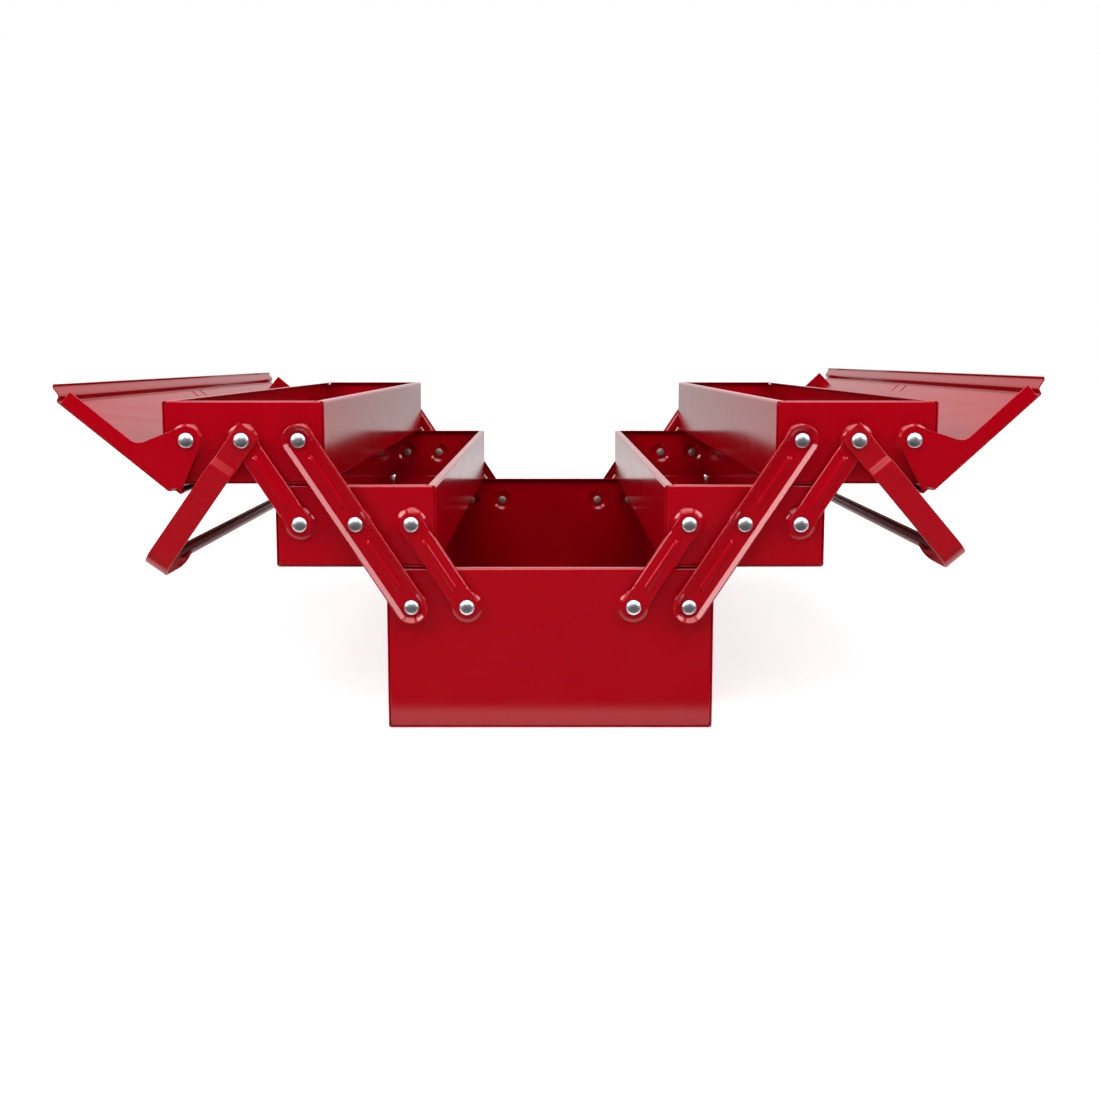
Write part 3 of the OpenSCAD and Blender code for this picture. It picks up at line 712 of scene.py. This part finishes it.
def surface(name, build):
    """A material whose Principled sockets come from a function of the tree and the object coordinates."""
    finish = Finish(bpy.data.materials.new(name))
    where = finish.node("ShaderNodeTexCoord", out=OBJECT)
    shader = finish.node("ShaderNodeBsdfPrincipled", {}, build(finish, where))
    finish.node("ShaderNodeOutputMaterial", {}, {"Surface": shader})
    print("material", name, "has", len(finish.tree.nodes), "nodes")
    return finish.owner


# %% Red paint
RED, DEEP_RED = (0.27, 0.0, 0.004), (0.22, 0.0, 0.004)


def paint(depth, rough):
    """Gloss enamel: slow drift of tone, cloudy gloss, and the fine ripple of sprayed paint."""
    def build(finish, where):
        drift = finish.noise(where, 9.0)
        cloud = finish.noise(where, 55.0, 3.0)
        ripple = finish.noise(where, 420.0, 2.0)
        grain = finish.noise(where, 2600.0, 1.0)
        return {
            "Base Color": finish.mix(drift * depth, RED, DEEP_RED),
            "Roughness": cloud * 0.08 + rough,
            "IOR": 1.4,
            "Normal": finish.bump(0.35, 0.00003, ripple + grain * 0.3),
        }
    return build


box_paint = surface("red_box_paint", paint(0.5, 0.1))
lid_paint = surface("red_lid_paint", paint(0.35, 0.1))
arm_paint = surface("red_arm_paint", paint(0.4, 0.1))
handle_paint = surface("red_handle_paint", paint(0.8, 0.2))

# %% Zinc rivets
TAIL_STARTS = 1.6  # how far outside the panel the bright plating begins


def zinc(finish, where):
    """Bright plated dome; the tails inside are darker and rougher."""
    y = finish.axis(where, 1)
    tail = (((END_Y + TAIL_STARTS) * MM - y.math("ABSOLUTE", y)) * 4000.0).clip()
    mottle = finish.noise(where, 900.0, 3.0)
    bright = finish.mix(mottle, (0.80, 0.84, 0.88), (0.95, 0.97, 1.0))
    dull = finish.mix(mottle, (0.16, 0.12, 0.10), (0.42, 0.38, 0.34))
    return {
        "Base Color": finish.mix(tail, bright, dull),
        "Metallic": 1.0,
        "Roughness": mottle * 0.08 + 0.33 + tail * 0.2,
        "Normal": finish.bump(0.3, 0.00004, mottle),
    }


zinc_plate = surface("zinc_plate", zinc)

# %% [markdown]
# ## Putting the pieces in their places
# Each kind of piece is worked out once, and its arrays are moved or mirrored to where the CAD model
# has its node. A piece rides on the body that carries it, so it follows the joints.

# %% Compartments
SHEET_EDGE, ARM_EDGE, EAR_EDGE = 0.12, 0.4, 0.35  # rounding of the cut edges
ENDS = {"front": AS_IT_IS, "rear": MIRROR_Y}


def compartment(body, w, h, pivots, offset):
    """Trough and two end panels of one compartment, moved by its offset."""
    folded = turned(trough(w, h), AS_IT_IS, offset)
    add_piece(body + "_sheet", folded, body, [body + "_trough"], box_paint, SHEET_EDGE)
    near = end_panel(w, h, pivots)
    for end, matrix in ENDS.items():
        pressed, panel = turned(near, matrix, offset), body + "_" + end
        add_piece(panel + "_face", pressed, body, [panel + "_panel"], box_paint, SHEET_EDGE)


box_pivots = [-LONG_X, -INNER_X, INNER_X, LONG_X]
compartment("bottom_box", BOX_W, BOX_H, box_pivots, np.zeros(3))
for side, sign in SIDES.items():
    for tier_name, tier in TIERS.items():
        pivots = [sign * (inner_pivot_x(tier) + k * PIVOT_GAP - tray_x(tier)) for k in range(3)]
        offset = np.array([sign * tray_x(tier), 0, tray_z(tier)])
        compartment(side + "_" + tier_name + "_tray", TRAY_W, TRAY_H, sorted(pivots), offset)

# %% Arms
for side in SIDES:
    for end, matrix in ENDS.items():
        for kind, x, z, parts in (
            ("long", LONG_X, PIVOT_Z, long_arm()),
            ("lower", INNER_X, PIVOT_Z, short_arm()),
            ("upper", LONG_X + ARM_SHIFT + PIVOT_GAP, PIVOT_Z + LEVEL, short_arm()),
        ):
            placed = turned(parts, *leaning(x, z))
            placed = turned(placed, MIRROR_X, 0) if side == "right" else placed
            placed = turned(placed, matrix, 0)
            name = side + "_" + end + "_" + kind + "_arm"
            add_piece(name + "_pressing", placed, name, [name], arm_paint, ARM_EDGE)

# %% Rivets
ARM_HEAD, EAR_HEAD, STRAP_HEAD = 3.6, 3.4, 5.4
TIER_HEADS = {1: (ARM_HEAD, ARM_HEAD, ARM_HEAD), 2: (ARM_HEAD, STRAP_HEAD, EAR_HEAD)}
add_piece("bottom_box_rivet_set", rivet_row([(x, PIVOT_Z, ARM_HEAD) for x in box_pivots]),
          "bottom_box", ["bottom_box_rivets"], zinc_plate)
for side, sign in SIDES.items():
    for tier_name, tier in TIERS.items():
        first, z, heads = inner_pivot_x(tier), PIVOT_Z + tier * LEVEL, TIER_HEADS[tier]
        row = rivet_row([(sign * (first + k * PIVOT_GAP), z, head) for k, head in enumerate(heads)])
        tray = side + "_" + tier_name + "_tray"
        add_piece(tray + "_rivet_set", row, tray, [tray + "_rivets"], zinc_plate)

# %% Lids and handles
LID_ANGLE = {"left": 140.4, "right": 137.0}
HANDLE_DIP = {"left": 54.6, "right": 49.6}
for side in SIDES:
    body = side + "_lid"
    opened = (LID_ANGLE[side], LID_X, side)
    panel = swung(lid_panel(), *opened)
    add_piece(body + "_sheet", panel, body, [body + "_panel"], lid_paint, SHEET_EDGE)
    for end, matrix in ENDS.items():
        plate, part = swung(turned(ear(), matrix, 0), *opened), body + "_" + end
        add_piece(part + "_plate", plate, body, [part + "_ear"], lid_paint, EAR_EDGE)
    body = side + "_handle"
    strip = swung(handle(), HANDLE_DIP[side] - 180, HANDLE_X, side)
    add_piece(body + "_strip", strip, body, [body], handle_paint)

# %% [markdown]
# ## Camera, floor and light
# The camera stands where the photographer's did: rivets, rims and far edges of all compartments
# were matched to find it. It looks down by about six degrees. The view is shifted a little,
# because the photograph's frame sits lower than the camera's axis.

# %% Camera
FOCAL_PIXELS, PHOTO_PIXELS, SENSOR = 1157.9, 1100, 36
TILT_DOWN, TURN, SHIFT_PIXELS = 6.059, -0.045, -70
camera = bpy.data.objects.new("camera", bpy.data.cameras.new("camera"))
bpy.context.scene.collection.objects.link(camera)
camera.location = (-0.00072, -0.9621, 0.2283)
camera.rotation_euler = (math.radians(90 - TILT_DOWN), 0, math.radians(TURN))
camera.data.lens = FOCAL_PIXELS / PHOTO_PIXELS * SENSOR
camera.data.shift_y = SHIFT_PIXELS / PHOTO_PIXELS
camera.data.clip_start, camera.data.clip_end = 0.01, 50
bpy.context.scene.camera = camera
print("camera %.0f mm in front of the box's middle" % (-camera.location.y / MM))

# %% [markdown]
# The floor is pale and keeps a soft shadow. The world is white to the camera. Reflections see a
# white sweep behind and above the box and a dark room on the camera's side, which is why the faces
# towards the camera are deep red and the walls seen at a slant turn pale.

# %% Floor
NEAR_STRIP = 0.032  # depth of the bright strip of floor that the front face mirrors
FLOOR_TONE, NEAR_GLOW, MIRRORED_GLOW, DARK_FLOOR = 0.62, 0.62, 0.32, 0.01
IS_CAMERA, IS_GLOSSY = 0, 3  # outputs of the Light Path node


def grey(value):
    """A colour of three equal parts."""
    return (value, value, value)


def floor_build(finish, where):
    """White sweep; mirrored in the paint, it is dark further in front, like the photographer's room."""
    distance = finish.node("ShaderNodeVectorMath", {"operation": "LENGTH"}, {0: where}, out=1)
    far = (distance * 1.6 - 0.8).clip()
    seen = finish.node("ShaderNodeLightPath", out=IS_CAMERA)
    mirrored = finish.node("ShaderNodeLightPath", out=IS_GLOSSY)
    front = ((0.0 - finish.axis(where, 1) - (END_Y * MM + NEAR_STRIP)) * 60.0).clip() * mirrored
    glow = finish.mix(seen, grey(0.0), finish.mix(far, grey(NEAR_GLOW), grey(1.0)))
    return {
        "Base Color": finish.mix(front, grey(FLOOR_TONE), grey(DARK_FLOOR)),
        "Roughness": 0.9,
        "IOR": 1.1,
        "Emission Color": finish.mix(mirrored - front, glow, grey(MIRRORED_GLOW)),
        "Emission Strength": 1.0,
    }


floor_mesh = bpy.data.meshes.new("floor")
corners = [(-8, -6, 0), (8, -6, 0), (8, 10, 0), (-8, 10, 0)]
floor_mesh.from_pydata(corners, [], [(0, 1, 2, 3)])
floor = bpy.data.objects.new("floor", floor_mesh)
bpy.context.scene.collection.objects.link(floor)
floor_paint = surface("pale_floor", floor_build)
floor_paint.cycles.emission_sampling = "NONE"
floor_mesh.materials.append(floor_paint)
print("floor:", len(floor_mesh.vertices), "corners")

# %% World
# Depth and height are the direction's Y and Z. The wall behind the box fades out towards the
# camera's side and above a height of about 0.5, and the ceiling grows bright from there up.
DARK_ROOM = (0.012, 0.013, 0.015)
world = Finish(bpy.data.worlds.new("studio"))
bpy.context.scene.world = world.owner
seen_directly = world.node("ShaderNodeLightPath", out=IS_CAMERA)
direction = world.node("ShaderNodeTexCoord", out=DIRECTION)
depth, height = world.axis(direction, 1), world.axis(direction, 2)
behind = (depth * 2.5 + 0.25).clip() * ((0.56 - height) * 5.0).clip() * 0.84
above = (height * 1.5 - 0.55).clip() * (depth * 2.0 + 1.0).clip()
room = world.mix(behind.math("MAXIMUM", behind, above), DARK_ROOM, grey(1.0))
seen = world.mix(seen_directly, room, grey(1.0))
sky = world.node("ShaderNodeBackground", {}, {"Color": seen, "Strength": 1.0})
world.node("ShaderNodeOutputWorld", {}, {"Surface": sky})
print("the world has", len(world.tree.nodes), "nodes")


# %% Lamps
def softbox(name, place, aim, size, power):
    """A square area lamp that faces a point."""
    lamp = bpy.data.objects.new(name, bpy.data.lights.new(name, "AREA"))
    bpy.context.scene.collection.objects.link(lamp)
    lamp.location = place
    towards = np.array(aim) - np.array(place)
    yaw = math.atan2(towards[1], towards[0]) - math.pi / 2
    pitch = math.atan2(towards[2], math.hypot(towards[0], towards[1]))
    lamp.rotation_euler = (math.pi / 2 + pitch, 0, yaw)
    lamp.data.size = size
    lamp.data.energy = power
    print(name, "of", power, "W")


softbox("left_box", (-1.3, -0.85, 1.0), (0, -0.2, 0.1), 0.8, 24)
softbox("right_box", (1.3, -0.85, 1.0), (0, -0.2, 0.1), 0.8, 19)
softbox("front_box", (-0.2, -1.7, 1.2), (0, -0.2, 0.1), 0.5, 4)
softbox("top_box", (0.0, -0.55, 1.5), (0, 0, 0.1), 1.3, 30)

# %% [markdown]
# ## The view transform
# The colours are shown through the Standard view transform.

# %% Colour
bpy.context.scene.view_settings.view_transform = "Standard"
